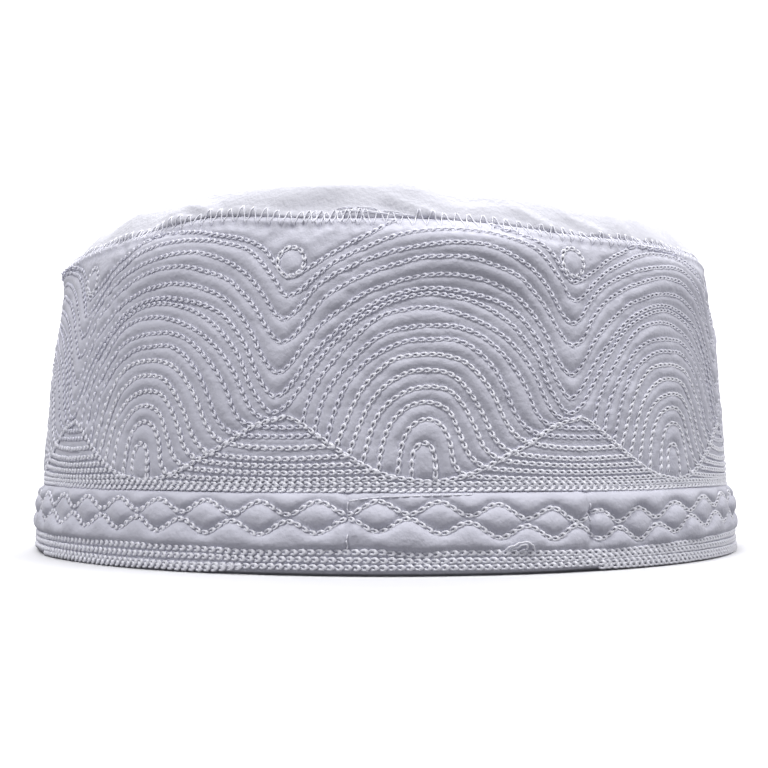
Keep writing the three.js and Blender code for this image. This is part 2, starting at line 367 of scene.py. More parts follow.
def off(u, place):
    """Distance from a place round the cap, the short way"""
    return (u - place + ROUND / 2) % ROUND - ROUND / 2


def bumps(u, table):
    """Sum of soft bumps round the cap: place, spread and lift"""
    return sum(lift * np.exp(-((off(u, place) / spread) ** 2)) for place, spread, lift in table)


def wave(u):
    """Cosine of the headband's waves"""
    return np.cos(2 * np.pi * WAVES * (u - WAVE_CREST + bumps(u, WAVE_SHIFTS)) / ROUND)


def ring():
    """A small ring of stitches at the top of a valley"""
    turn = np.linspace(0, 2 * np.pi, LOOP_POINTS)
    aside, up = RING_RADIUS * np.sin(turn), RING_RADIUS * np.cos(turn)
    return np.column_stack([VALLEY + aside, RING_HEIGHT + up])


def joined(line):
    """A panel's long row as one line round the whole cap"""
    return np.vstack([part[:-1] for part in copies(line)] + [line[:1] + [ROUND, 0.0]])


def seam_at(u):
    """Height of the crown seam"""
    return SEAM_HEIGHT + bumps(u, SEAM_WAVER)


def top_row(line):
    """The highest row, under the crown seam on the front panel and just below it on the others"""
    u, z = line.T
    middle, reach = FRONT_PANEL
    below_seam = seam_at(u) - TOP_ROW_GAP + TOP_ROW_ROOM * np.exp(-((off(u, middle) / reach) ** 4))
    return np.column_stack([u, np.minimum(z + bumps(u, TOP_ROW_LIFTS), below_seam)])


def upper_wave(u):
    """Height of the headband's upper wave"""
    middle, swing = UPPER_WAVE
    return middle + swing * wave(u) + 0.1 * np.sin(u / 31) + bumps(u, WAVE_DIPS)


def lower_wave(u):
    """Height of the headband's lower wave, which mirrors the upper one"""
    middle, swing = LOWER_WAVE
    return middle - swing * wave(u) + 0.1 * np.sin(u / 37) + bumps(u, WAVE_DIPS + WAVE_RISE)


def hem_row(z):
    """One of the rows along the hem"""
    return round_line(lambda u: z + (z - ROW_LEVEL) * bumps(u, ROW_DIPS) + 0.1 * np.sin(u / 13 + z))


def foot_row(z):
    """One of the level rows at the wall's foot"""
    return round_line(lambda u: z + 0.12 * np.sin(u / 9 + z))


LONG = [joined(through(row, PITCH)) for row in LONG_ROWS]
LONG[HIGHEST] = top_row(LONG[HIGHEST])
SHORT = [copy for row in SHORT_ROWS for copy in copies(through(row))]
SCALLOPS = copies(through(SCALLOP))
FEET = [foot_row(z) for z in FOOT_ROWS]
RINGS = copies(ring())
RINGS[0][:, 1] += FRONT_RING_DROP
BAND_WAVES = [round_line(upper_wave), round_line(lower_wave)]
BAND_LINES = [hem_row(z) for z in BAND_ROWS] + [through(LEFT_RUN), through(RIGHT_RUN)]


# The shape of the cloth

def ripples(points, length, seed, waves=16):
    """A smooth random field of about -1 to 1 over points in space, the same on every run"""
    rng = np.random.default_rng(seed)
    ways = rng.normal(size=(waves, 3))
    ways /= np.linalg.norm(ways, axis=1)[:, None]
    rates = 2 * np.pi / (length * rng.uniform(0.7, 1.5, waves))
    phases = rng.uniform(0, 2 * np.pi, waves)
    total = sum(np.sin(points @ way * rate + phase) for way, rate, phase in zip(ways, rates, phases))
    return total / math.sqrt(waves)


def dents_of(table, points):
    """Sum of random fields at points in space: height, length and seed of each"""
    return sum(high * ripples(points, length, seed) for high, length, seed in table)


def around(radius, u, z):
    """Points in space at a radius and a place on the side"""
    turn = u / GAUGE_RADIUS
    return np.stack([radius * np.sin(turn), -radius * np.cos(turn), z + 0.0 * u], axis=-1)


class Padding:
    """Height of the padding over a strip of the side, pinned to nothing along its stitching"""

    def __init__(self, lines, low, high, fullness, limit, seed, pucker):
        cell, reach, passes = PAD_CELL, PAD_REACH, PAD_PASSES
        self.low = low
        self.limit = limit
        self.columns = round(ROUND / cell)
        self.rows = round((high - low) / cell) + 1
        self.wide = ROUND / self.columns
        self.tall = (high - low) / (self.rows - 1)
        pinned = np.zeros((self.rows, self.columns), bool)
        pinned[[0, -1]] = True
        for line in lines:
            dense = evenly(line, cell / 2)
            row = np.rint((dense[:, 1] - low) / self.tall).astype(int)
            column = np.rint(dense[:, 0] / self.wide).astype(int) % self.columns
            inside = (row >= 0) & (row < self.rows)
            pinned[row[inside], column[inside]] = True
        pinned[1:] |= pinned[:-1].copy()
        pinned |= np.roll(pinned, 1, 1)
        u, z = np.meshgrid(np.arange(self.columns) * self.wide, low + np.arange(self.rows) * self.tall)
        place = around(GAUGE_RADIUS, u, z)
        push = fullness * (1 + UNEVEN * ripples(place, UNEVEN_LENGTH, seed)) * cell**2
        height = np.zeros_like(u)
        slack = 4 + (cell / reach) ** 2
        free = ~pinned
        for _ in range(passes):
            spread = np.roll(height, 1, 1) + np.roll(height, -1, 1)
            spread[1:-1] += height[:-2] + height[2:]
            height = (spread + push) / slack * free
        soft = height.copy()
        soft[1:-1] = (height[:-2] + 2 * height[1:-1] + height[2:]) / 4
        soft = (np.roll(soft, 1, 1) + 2 * soft + np.roll(soft, -1, 1)) / 4
        self.height = soft * (1 + pucker(u) * ripples(place, PUCKER_LENGTH, seed + 50))

    def at(self, u, z):
        """Padding height at places on the side"""
        x = (u / self.wide) % self.columns
        y = np.clip((z - self.low) / self.tall, 0, self.rows - 1.001)
        column = x.astype(int) % self.columns
        row = y.astype(int)
        fx, fy = x - np.floor(x), y - row
        after = (column + 1) % self.columns
        h = self.height
        raised = (
            (h[row, column] * (1 - fx) + h[row, after] * fx) * (1 - fy)
            + (h[row + 1, column] * (1 - fx) + h[row + 1, after] * fx) * fy
        )
        return self.limit * np.tanh(raised / self.limit)


def face(table):
    """Radius against height, smooth through a table"""
    dense = through(table)
    return lambda z: np.interp(z, dense[:, 0], dense[:, 1])


wall_face = face(WALL_FACE)
band_face = face(BAND_FACE)


def slope_puckers(u):
    """How much the padding puckers round the cap, most on each arch's left slope"""
    past_middle = (u - SLOPE_START) % PITCH - SLOPE_MIDDLE
    return LEVEL_PUCKERS + SLOPE_PUCKERS * np.exp(-((past_middle / SLOPE_SPREAD) ** 2))


TOP_LINE = round_line(lambda u: seam_at(u) - 0.3)
wall_padding = Padding(
    LONG + SHORT + SCALLOPS + FEET + RINGS + [TOP_LINE],
    low=15.6, high=78.0, fullness=1.1, limit=1.4, seed=3, pucker=slope_puckers,
)
band_padding = Padding(
    BAND_WAVES + BAND_LINES,
    low=0.3, high=16.5, fullness=1.15, limit=2.0, seed=4, pucker=lambda u: 0.08,
)


def seam_bulge(u, away):
    """How far the cloth stands out beside the crown seam, by the distance from it"""
    return bumps(u, SEAM_BULGES) * np.exp(-((away / BULGE_REACH) ** 2))


def creases(u, z):
    """Depth of the creases in the side"""
    depth = 0.0 * u
    for start, end, deep, half in CREASES:
        du, dz = end[0] - start[0], end[1] - start[1]
        length2 = du * du + dz * dz
        eu, ez = off(u, start[0]), z - start[1]
        t = np.clip((eu * du + ez * dz) / length2, 0, 1)
        away2 = (eu - t * du) ** 2 + (ez - t * dz) ** 2
        depth += deep * np.exp(-away2 / half**2)
    return depth


def seam_points():
    """Places round the cap of the seam stitches' lower and upper ends"""
    rng = np.random.default_rng(31)
    count = round(ROUND / SEAM_STITCH)
    low = np.arange(count) * ROUND / count + rng.normal(0, 0.18, count)
    high = (np.arange(count) + 0.5) * ROUND / count + rng.normal(0, 0.22, count)
    climb = rng.normal(SEAM_UP, 0.2, count) - bumps(high, LOW_STITCHES)
    return low, rng.normal(SEAM_DOWN, 0.16, count), high, climb


SEAM_LOW, SEAM_DROP, SEAM_HIGH, SEAM_CLIMB = seam_points()


def seam_puffs(u, below):
    """Dents at the seam stitches' lower ends and the small puffs between them"""
    nearest = np.rint(u * len(SEAM_LOW) / ROUND).astype(int) % len(SEAM_LOW)
    aside = off(u, SEAM_LOW[nearest])
    deep, half, tall = SEAM_DENT
    dent = deep * np.exp(-((aside / half) ** 2) - ((below - SEAM_DROP[nearest]) / tall) ** 2)
    rise, half, distance, tall = SEAM_PUFF
    between = 1 - np.exp(-((aside / half) ** 2))
    return rise * between * np.exp(-(((below - distance) / tall) ** 2)) - dent


def wall_radius(u, z):
    """Outer face of the quilted wall"""
    across = 2 * off(u, VALLEY + PANEL_RIDGE * PITCH) / PITCH
    fold = np.abs((across + 1) % 2 - 1)
    up = np.clip((z - BAND_TOP) / (SEAM_HEIGHT - BAND_TOP), 0, 1)
    swell = PANEL_SWELL * (1 - fold**3) * np.sqrt(np.sin(np.pi * up))
    dents = dents_of(WALL_DENTS, around(GAUGE_RADIUS, u, z)) * np.sin(np.pi * up)
    below = (seam_at(u) - z).clip(0)
    held = 1 - np.exp(-((below / SWELL_START) ** 2))
    for middle, wide, high, rise in SWELLINGS:
        away = (off(u, middle[0]) / wide) ** 2 + ((z - middle[1]) / high) ** 2
        swell += rise * held * np.exp(-away)
    tucked = SEAM_SETBACK * np.exp(-((below / SETBACK_REACH) ** 2)) - seam_bulge(u, below)
    least, growth, start, reach = SEAM_LID
    lid = least + growth * np.clip((below - start) / reach, 0, 1)
    pads = lid * np.tanh(wall_padding.at(u, z) / lid)
    return wall_face(z) + swell + dents + pads + seam_puffs(u, below) - creases(u, z) - tucked


def band_radius(u, z):
    """Outer face of the padded headband"""
    dents = dents_of(BAND_DENTS, around(GAUGE_RADIUS, u, z))
    deep, half = JOIN_GROOVE
    high, reach, length = JOIN_PUCKERS
    for join in JOINS:
        aside = off(u, join)
        dents -= deep * np.exp(-((aside / half) ** 2)) * (0.4 + 0.6 * (z > ROWS_TOP))
        dents += high * np.exp(-((aside / reach) ** 2)) * np.cos(2 * np.pi * aside / length + 0.3 * z)
    return band_face(z) + dents + band_padding.at(u, z)


def crown_lift(radius, u):
    """What the seam's waver, the folds and the sag add to the height of the crown's plain section"""
    near = np.clip((radius / CROWN_EDGE - 0.5) / 0.5, 0, 1)
    near = near * near * (3 - 2 * near)
    inwards = CROWN_EDGE - radius
    lift = bumps(u, SEAM_WAVER) * near
    for place, spread, raised, reach in CROWN_FOLDS:
        up = np.clip(inwards / FOLD_START, 0, 1)
        down = 1 - np.clip((inwards - FOLD_START) / (reach - FOLD_START), 0, 1)
        lift += raised * np.exp(-((off(u, place) / spread) ** 2)) * up * down * down * (3 - 2 * down)
    edge = np.clip(inwards / 4.0, 0, 1)
    return lift + edge * dents_of(CROWN_SAG, around(radius, u, 0 * u))


def crown_relief(u, inwards):
    """How far the crown's cloth stands out, by the distance from its seam along the section"""
    nearest = np.rint(u * len(SEAM_HIGH) / ROUND - 0.5).astype(int) % len(SEAM_HIGH)
    aside = off(u, SEAM_HIGH[nearest])
    dent = np.exp(-((aside / 0.7) ** 2) - ((inwards - CROWN_TUCK - SEAM_CLIMB[nearest]) / 0.8) ** 2)
    dent *= 0.3 - bumps(u, LOW_STITCHES) * 0.2
    edge = np.clip(inwards / 1.5, 0, 1)
    rim = around(GAUGE_RADIUS, u, 0.35 * inwards)
    gathers = np.exp(-((inwards - 4) / 8) ** 2) * edge
    wrinkles = gathers * dents_of(SEAM_WRINKLES, rim)
    height, fading, pull_length, seed = CROWN_PULL
    inner = around(84 - inwards, u, 0 * u)
    pulled = height * edge * np.exp(-inwards / fading) * ripples(inner, pull_length, seed)
    folds = 0.0 * u
    for start, end, high, half in CROWN_CREASES:
        du, ds = end[0] - start[0], end[1] - start[1]
        length = math.hypot(du, ds)
        eu, es = off(u, start[0]), inwards - start[1]
        t = np.clip((eu * du + es * ds) / length**2, 0, 1)
        past2 = (eu - t * du) ** 2 + (es - t * ds) ** 2
        side = (eu * ds - es * du) / length
        over = np.sqrt((past2 - side**2).clip(0))
        ridge = np.exp(-(((side + 0.6 * half) / half) ** 2))
        hollow = 0.8 * np.exp(-(((side - 0.5 * half) / (0.7 * half)) ** 2))
        folds += high * (ridge - hollow) * np.exp(-((over / (1.5 * half)) ** 2))
    return wrinkles + pulled + folds - dent


# Making meshes

def cloth_grid(name, columns, rows, place):
    """A closed sheet: place turns a grid's shares across and along into points and a UV map"""
    bm = bmesh.new()
    bmesh.ops.create_grid(bm, x_segments=columns, y_segments=rows, size=0.5)
    mesh = bpy.data.meshes.new(name)
    bm.to_mesh(mesh)
    bm.free()
    corners = np.empty(len(mesh.vertices) * 3)
    mesh.vertices.foreach_get("co", corners)
    flat = corners.reshape(-1, 3)[:, :2]
    share = (flat - flat.min(0)) / np.ptp(flat, axis=0)
    points, sheet = place(share[:, 0], share[:, 1])
    mesh.vertices.foreach_set("co", (points * MM).ravel())
    corner = np.empty(len(mesh.loops), int)
    mesh.loops.foreach_get("vertex_index", corner)
    uv = mesh.uv_layers.new(name="cloth")
    uv.data.foreach_set("uv", (sheet[corner] * MM).ravel())
    bm = bmesh.new()
    bm.from_mesh(mesh)
    bmesh.ops.remove_doubles(bm, verts=bm.verts, dist=1e-6)
    bmesh.ops.recalc_face_normals(bm, faces=bm.faces)
    bm.to_mesh(mesh)
    bm.free()
    mesh.shade_smooth()
    return shown(mesh)


def shown(mesh):
    """A mesh as an object of the scene"""
    piece = bpy.data.objects.new(mesh.name, mesh)
    bpy.context.collection.objects.link(piece)
    return piece


def from_arrays(name, points, faces):
    """Many small closed shapes joined in one mesh"""
    mesh = bpy.data.meshes.new(name)
    mesh.vertices.add(len(points))
    mesh.vertices.foreach_set("co", (points * MM).ravel())
    mesh.loops.add(faces.size)
    mesh.loops.foreach_set("vertex_index", faces.ravel())
    mesh.polygons.add(len(faces))
    mesh.polygons.foreach_set("loop_start", np.arange(0, faces.size, 3))
    mesh.update(calc_edges=True)
    mesh.shade_smooth()
    return shown(mesh)


def tube_faces(rings, sides):
    """Triangles of a closed tube whose first and last rings are single points"""
    starts = [1 + k * sides for k in range(rings - 2)]
    last = 1 + len(starts) * sides
    faces = []
    for i in range(sides):
        j = (i + 1) % sides
        faces.append((0, starts[0] + j, starts[0] + i))
        for a, b in zip(starts, starts[1:]):
            faces += [(a + i, a + j, b + j), (a + i, b + j, b + i)]
        faces.append((last, starts[-1] + i, starts[-1] + j))
    return np.array(faces)


def repeated(faces, points, count):
    """The faces of one shape of so many points, for each of its copies"""
    return (faces[None] + points * np.arange(count)[:, None, None]).reshape(-1, 3)


def outwards(points, faces):
    """The faces of one closed shape, turned to face out"""
    a, b, c = (points[faces[:, k]] for k in range(3))
    inside_out = np.einsum("ij,ij->", a, np.cross(b, c)) < 0
    return faces[:, ::-1] if inside_out else faces


def thread_link(stout):
    """One link of chain stitch, a loop that closes over the next one. x along, y aside, z up"""
    back = [(x, -y, z, thick) for x, y, z, thick in LINK_SIDE[::-1]]
    course = np.array(LINK_SIDE + [LINK_BEND] + back)
    ahead = np.gradient(course[:, :2], axis=0)
    ahead /= np.linalg.norm(ahead, axis=1)[:, None]
    sides = 4
    corners = []
    for (x, y, z, thick), (dx, dy) in zip(course, ahead):
        if not thick:
            corners.append((x, y, z))
            continue
        for k in range(sides):
            turn = 2 * np.pi * (k + 0.5) / sides
            out, up = stout * thick * np.cos(turn), 1.1 * stout * thick * np.sin(turn)
            corners.append((x - dy * out, y + dx * out, z + up))
    points = np.array(corners)
    return points, outwards(points, tube_faces(len(course), sides))


def side_frames(line, distances, reach=0.3, lift=0.0):
    """Places on the cloth along a line, with the ways along, aside and out of the cloth"""
    length = run_of(line)[-1]
    spots = [along(line, np.clip(distances + d, 0, length)) for d in (-reach, 0, reach)]
    before, here, after = [on_side(*spot.T) for spot in spots]
    ahead = after - before
    ahead /= np.linalg.norm(ahead, axis=1)[:, None]
    u, z = spots[1].T
    slope = (smooth_radius(z + 1) - smooth_radius(z - 1)) / 2
    turn = u / GAUGE_RADIUS
    out = np.stack([np.sin(turn), -np.cos(turn), -slope], axis=-1)
    out /= np.linalg.norm(out, axis=1)[:, None]
    aside = np.cross(out, ahead)
    aside /= np.linalg.norm(aside, axis=1)[:, None]
    return here + out * lift, ahead, aside, out


def smooth_radius(z):
    """Radius of the side with no padding, of the headband below its edge and of the wall above"""
    return np.where(z < BAND_TOP, band_face(z), wall_face(z))


def on_side(u, z):
    """Point of the cloth's outer face at a place on the side"""
    return around(np.where(z < BAND_TOP, band_radius(u, z), wall_radius(u, z)), u, z)


def chain(name, lines, width, lift, stout, seed):
    """Chain stitches along lines on the side"""
    rng = np.random.default_rng(seed)
    link, faces = thread_link(stout)
    points = []
    for line in lines:
        length = run_of(line)[-1]
        count = max(round(length / (LINK_PITCH * rng.uniform(0.97, 1.04))), 1)
        pitch = length / count
        at = (np.arange(count) + rng.uniform(0.25, 0.75)) * pitch
        u, z = along(line, at).T
        at = at[z < seam_at(u) - SEAM_CLEAR]
        count = len(at)
        here, ahead, aside, out = side_frames(line, at, lift=lift)
        size = rng.uniform(0.93, 1.07, (count, 1)) * width
        size = size * np.where(along(line, at)[:, 1:] < HEAVY_BELOW, HEAVY_WIDTH, 1.0)
        lean = rng.normal(0, 0.06, (count, 1))
        way = ahead + aside * lean
        across = aside - ahead * lean
        corner = (
            here[:, None]
            + way[:, None] * link[None, :, :1] * pitch * LINK_OVERLAP
            + across[:, None] * (link[None, :, 1:2] * size[:, None])
            + out[:, None] * (link[None, :, 2:] * size[:, None])
        )
        points.append(corner.reshape(-1, 3))
    points = np.vstack(points)
    return from_arrays(name, points, repeated(faces, len(link), len(points) // len(link)))


def strands(name, courses, thickness, sides=5):
    """Plain threads along courses of points in space, each with the same number of points"""
    courses = np.array(courses)
    count, steps, _ = courses.shape
    ahead = np.gradient(courses, axis=1)
    ahead /= np.linalg.norm(ahead, axis=2)[..., None]
    out = courses * [1, 1, 0]
    out /= np.linalg.norm(out, axis=2)[..., None]
    aside = np.cross(ahead, out)
    aside /= np.linalg.norm(aside, axis=2)[..., None]
    up = np.cross(aside, ahead)
    turns = (2 * np.pi * (np.arange(sides) + 0.5) / sides)[:, None]
    circle = np.cos(turns) * aside[:, 1:-1, None] + np.sin(turns) * up[:, 1:-1, None]
    rings = courses[:, 1:-1, None] + circle * thickness / 2
    points = np.concatenate([courses[:, :1], rings.reshape(count, -1, 3), courses[:, -1:]], axis=1)
    faces = outwards(points[0], tube_faces(steps, sides))
    return from_arrays(name, points.reshape(-1, 3), repeated(faces, points.shape[1], count))


# Cloth pieces

def side_wall():
    """The quilted side wall with its plain lining. Each row of its section gives a share of the height,
    how far it lies inside the face, its rise, and 1 on the padded face"""
    even, close = np.linspace(0, 0.93, 83), np.linspace(0.9367, 1, 11)
    outer = [(t, 0.0, 0.0, 1) for t in [*even, *close]]
    edge = [(1, 0.7, -0.1, 0), (1, 1.5, -0.1, 0)]
    lining = [(t, WALL_THICKNESS, 0.0, 0) for t in np.linspace(1, 0, 9)]
    share, inset, rise, is_outer = np.array(outer + edge + lining + outer[:1]).T
    rows = len(share)

    def place(across, up):
        row = np.rint(up * (rows - 1)).astype(int)
        u = (across - 0.5) * ROUND
        z = WALL_FOOT + share[row] * (seam_at(u) - WALL_FOOT)
        padded = is_outer[row] > 0
        radius = np.where(padded, wall_radius(u, z), wall_face(z) - inset[row])
        return around(radius, u, z + rise[row]), np.column_stack([u, z + LINING_STRETCH * inset[row]])

    return cloth_grid("quilted_wall", GRID_COLUMNS, rows - 1, place)


def headband():
    """The padded headband, folded under the wall's foot and turned up inside. Each row of its section
    gives a height, then how far it lies out of the padded face, or a plain radius where a 1 follows"""
    outer = [(z, 0.0, 0) for z in np.linspace(0.75, 16.2, 33)]
    roll = [(16.6, -0.25, 0), (16.8, -0.6, 0)]
    turned = [(16.7, 92.85, 1), (14.5, 93.0, 1), (12.5, 93.1, 1), (TURN_TOP, 92.8, 1), (TURN_TOP, 91.0, 1)]
    inside = [(z, BAND_INSIDE, 1) for z in (TURN_TOP - 0.3, 9.5, 7.0, 4.5, 2.0, 0.7)]
    fold = [
        (0.15, BAND_INSIDE + 0.45, 1), (0.0, BAND_INSIDE + 1.1, 1), (0.0, 92.2, 1), (0.0, 93.3, 1),
        (0.35, 93.5, 1), (0.42, 94.0, 1), (0.5, -0.25, 0),
    ]
    height, value, plain = np.array(outer + roll + turned + inside + fold + outer[:1]).T
    rows = len(height)

    def place(across, up):
        row = np.rint(up * (rows - 1)).astype(int)
        u = (across - 0.5) * ROUND
        z = height[row] + bumps(u, RIM_LIFTS) * np.clip(1 - height[row] / RIM_LIFT_REACH, 0, 1)
        is_plain = plain[row] > 0
        radius = np.where(is_plain, value[row], band_radius(u, z) + value[row])
        return around(radius, u, z), np.column_stack([u, z + LINING_SHIFT * is_plain])

    return cloth_grid("padded_headband", GRID_COLUMNS, rows - 1, place)


def crown_section():
    """The crown's outer section, its ways out and its distances from the seam"""
    section = evenly(through(CROWN_FACE), CROWN_SPACING)
    ahead = np.gradient(section, axis=0)
    ahead /= np.linalg.norm(ahead, axis=1)[:, None]
    return section, np.column_stack([ahead[:, 1], -ahead[:, 0]]), run_of(section)


SECTION, SECTION_OUT, SECTION_RUN = crown_section()


def on_crown(u, inwards):
    """Point of the crown's outer face, by the distance from its seam along the section"""
    radius, height = (np.interp(inwards, SECTION_RUN, SECTION[:, i]) for i in (0, 1))
    out, up = (np.interp(inwards, SECTION_RUN, SECTION_OUT[:, i]) for i in (0, 1))
    relief = crown_relief(u, inwards) * np.clip((SECTION_RUN[-1] - inwards) / 20, 0, 1)
    z = SEAM_HEIGHT + height + crown_lift(radius, u) + up * relief
    return around(radius + out * relief + seam_bulge(u, inwards - BULGE_SHIFT), u, z)


def crown():
    """The soft crown, with its outer face first and its inside after it"""
    radii, heights = evenly(through(CROWN_LINING), LINING_SPACING).T
    outer = len(SECTION)
    rows = outer + len(radii) + 1

    def place(across, up):
        row = np.rint(up * (rows - 1)).astype(int)
        u = (across - 0.5) * ROUND
        inwards = SECTION_RUN[np.where(row < outer, row, 0)]
        below = np.clip(row - outer, 0, len(radii) - 1)
        lining = around(radii[below], u, SEAM_HEIGHT + heights[below] + crown_lift(radii[below], u))
        is_outer = (row < outer) | (row == rows - 1)
        points = np.where(is_outer[:, None], on_crown(u, inwards), lining)
        return points, points[:, :2]

    return cloth_grid("soft_crown", CROWN_COLUMNS, rows - 1, place)


def sewn(places, height=0.16):
    """Course of one stitch along places round the cap and above the crown seam, its ends in the cloth"""
    line = evenly(np.array(places, float), 0.42)
    u, climb = along(line, np.linspace(0, run_of(line)[-1], len(STITCH_RISE))).T
    on_wall = on_side(u, seam_at(u) + climb)
    over_seam = on_crown(u, CROWN_TUCK + climb.clip(0))
    course = np.where((climb < 0)[:, None], on_wall, over_seam)
    out = course * [1, 1, 0.35]
    out /= np.linalg.norm(out, axis=1)[:, None]
    return course + out * (np.array(STITCH_RISE) * height)[:, None]


def seam_thread():
    """The zigzag that joins the crown to the wall, with a tangled second run beside the front fold"""
    courses = []
    for k in range(len(SEAM_LOW)):
        low, high = (SEAM_LOW[k], -SEAM_DROP[k]), (SEAM_HIGH[k], SEAM_CLIMB[k])
        after = (low[0] + ROUND / len(SEAM_LOW), -SEAM_DROP[(k + 1) % len(SEAM_LOW)])
        courses += [sewn([low, high]), sewn([high, after])]
    starts = np.arange(*SECOND_ZIGZAG, SEAM_STITCH)
    zigzags = [[(u + ahead, climb) for ahead, climb in ZIGZAG_CORNERS] for u in starts]
    for run in TANGLES + zigzags:
        courses += [sewn(pair, 0.3) for pair in zip(run, run[1:])]
    return strands("crown_seam_thread", courses, 0.3, sides=4)


def stitch(start, end, bow=0.2):
    """Course of one stitch between two points, rising from the cloth and going back in"""
    out = (start + end) * [1, 1, 0]
    out /= np.linalg.norm(out)
    shape = ((-0.04, -1.2), (0.04, 0.3), (0.3, 1.0), (0.7, 1.0), (0.96, 0.3), (1.04, -1.2))
    return [start + (end - start) * t + out * bow * rise for t, rise in shape]


def band_stitches():
    """The running stitch on the headband's edge and the stitches across its joins"""
    courses = []
    line = through(TOPSTITCH)
    for start in np.arange(0, run_of(line)[-1] - 1.6, RUNNING_PITCH):
        a, b = on_side(*along(line, np.array([start, start + RUNNING_STITCH])).T)
        courses.append(stitch(a, b, 0.22))
    for join, tops in zip(JOINS, JOIN_STITCHES):
        for k, z in enumerate(tops):
            a = on_side(np.array(join + 0.12 * (-1) ** k), np.array(z))
            b = on_side(np.array(join - 0.1 * (-1) ** k), np.array(z - 1.05))
            courses.append(stitch(a, b, 0.25))
    return strands("headband_stitches", courses, 0.36, sides=4)


def loose_end():
    """The loose loops of thread"""
    courses = []
    for k, places in enumerate(LOOSE_LOOPS):
        line = through(places)
        line = along(line, np.linspace(0, run_of(line)[-1], LOOP_POINTS))
        t = np.linspace(0, 1, LOOP_POINTS)
        course = on_side(line[:, 0] + 0.13 * np.sin(21 * t + k), line[:, 1] + 0.1 * np.sin(33 * t + k))
        out = course * [1, 1, 0]
        out /= np.linalg.norm(out, axis=1)[:, None]
        courses.append(course + out * (0.1 + 0.5 * np.sin(np.pi * t))[:, None])
    return strands("loose_thread_end", courses, 0.42, sides=6)


# Finishes

def shader(name, colour, roughness, sheen):
    """A material with its shader node"""
    material = bpy.data.materials.new(name)
    material.use_nodes = True
    nodes = material.node_tree.nodes
    base = nodes["Principled BSDF"]
    base.inputs["Base Color"].default_value = (*colour, 1)
    base.inputs["Roughness"].default_value = roughness
    base.inputs["Sheen Weight"].default_value = sheen
    base.inputs["Sheen Roughness"].default_value = 0.5
    base.inputs["Specular IOR Level"].default_value = 0.3
    return material, nodes, material.node_tree.links, base


def cloth_material(name, colour, weave=0.26):
    """Plain woven cotton: a fine weave, small slubs and a faint mottling. A wave texture of scale 1
    turns by 20 radians a metre"""
    material, nodes, links, base = shader(name, colour, 0.88, 0.25)
    uv = nodes.new("ShaderNodeUVMap")
    uv.uv_map = "cloth"
    where = nodes.new("ShaderNodeTexCoord")
    height = None
    for direction in ("X", "Y"):
        threads = nodes.new("ShaderNodeTexWave")
        threads.bands_direction = direction
        threads.inputs["Scale"].default_value = 1 / (weave * MM) / 20 * 2 * math.pi
        threads.inputs["Distortion"].default_value = 1.2
        threads.inputs["Detail"].default_value = 1.0
        links.new(uv.outputs["UV"], threads.inputs["Vector"])
        if height is None:
            height = threads.outputs["Fac"]
        else:
            both = nodes.new("ShaderNodeMath")
            both.operation = "MULTIPLY"
            links.new(height, both.inputs[0])
            links.new(threads.outputs["Fac"], both.inputs[1])
            height = both.outputs[0]
    slubs = nodes.new("ShaderNodeTexNoise")
    slubs.inputs["Scale"].default_value = 900
    slubs.inputs["Detail"].default_value = 3
    links.new(where.outputs["Object"], slubs.inputs["Vector"])
    grain = nodes.new("ShaderNodeBump")
    grain.inputs["Strength"].default_value = 0.3
    grain.inputs["Distance"].default_value = 0.05 * MM
    links.new(height, grain.inputs["Height"])
    rough = nodes.new("ShaderNodeBump")
    rough.inputs["Strength"].default_value = 0.85
    rough.inputs["Distance"].default_value = 0.3 * MM
    links.new(slubs.outputs["Fac"], rough.inputs["Height"])
    links.new(grain.outputs["Normal"], rough.inputs["Normal"])
    links.new(rough.outputs["Normal"], base.inputs["Normal"])
    mottle = nodes.new("ShaderNodeTexNoise")
    mottle.inputs["Scale"].default_value = 140
    mottle.inputs["Detail"].default_value = 6
    links.new(where.outputs["Object"], mottle.inputs["Vector"])
    tone = nodes.new("ShaderNodeValToRGB")
    tone.color_ramp.elements[0].position = 0.3
    tone.color_ramp.elements[1].position = 0.7
    tone.color_ramp.elements[0].color = (*[c * 0.94 for c in colour], 1)
    tone.color_ramp.elements[1].color = (*colour, 1)
    links.new(mottle.outputs["Fac"], tone.inputs["Fac"])
    links.new(tone.outputs["Color"], base.inputs["Base Color"])
    return material


def thread_material(name, colour):
    """Satin embroidery thread"""
    material, nodes, links, base = shader(name, colour, 0.34, 0.15)
    base.inputs["Specular IOR Level"].default_value = 0.5
    where = nodes.new("ShaderNodeTexCoord")
    fibres = nodes.new("ShaderNodeTexNoise")
    fibres.inputs["Scale"].default_value = 2600
    fibres.inputs["Detail"].default_value = 2
    links.new(where.outputs["Object"], fibres.inputs["Vector"])
    bump = nodes.new("ShaderNodeBump")
    bump.inputs["Strength"].default_value = 0.35
    bump.inputs["Distance"].default_value = 0.06 * MM
    links.new(fibres.outputs["Fac"], bump.inputs["Height"])
    links.new(bump.outputs["Normal"], base.inputs["Normal"])
    return material


CLOTH = (0.62, 0.62, 0.705)
quilt_cloth = cloth_material("quilted cotton", CLOTH)
band_cloth = cloth_material("headband cotton", CLOTH)
# The crown's cotton is the side's cotton painted lighter: painted light, for the crown that is lit from
# above
crown_cloth_painted_light = cloth_material("crown cotton painted lighter", (0.66, 0.66, 0.725))
white_thread = thread_material("white thread", (0.87, 0.87, 0.94))
# The thread of the upper arches is the white thread painted darker: painted shade, for the arches that lie
# in shade
arch_thread_painted_shade = thread_material("arch thread painted darker", (0.77, 0.77, 0.86))


def finish_piece(piece, material):
    """Gives a piece its finish and fixes it to the cap"""
    piece.data.materials.clear()
    piece.data.materials.append(material)
    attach(piece, "root")
    return piece


wall = finish_piece(side_wall(), quilt_cloth)
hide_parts("side_band")
band = finish_piece(headband(), band_cloth)
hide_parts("headband")
top = finish_piece(crown(), crown_cloth_painted_light)
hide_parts("crown_top")

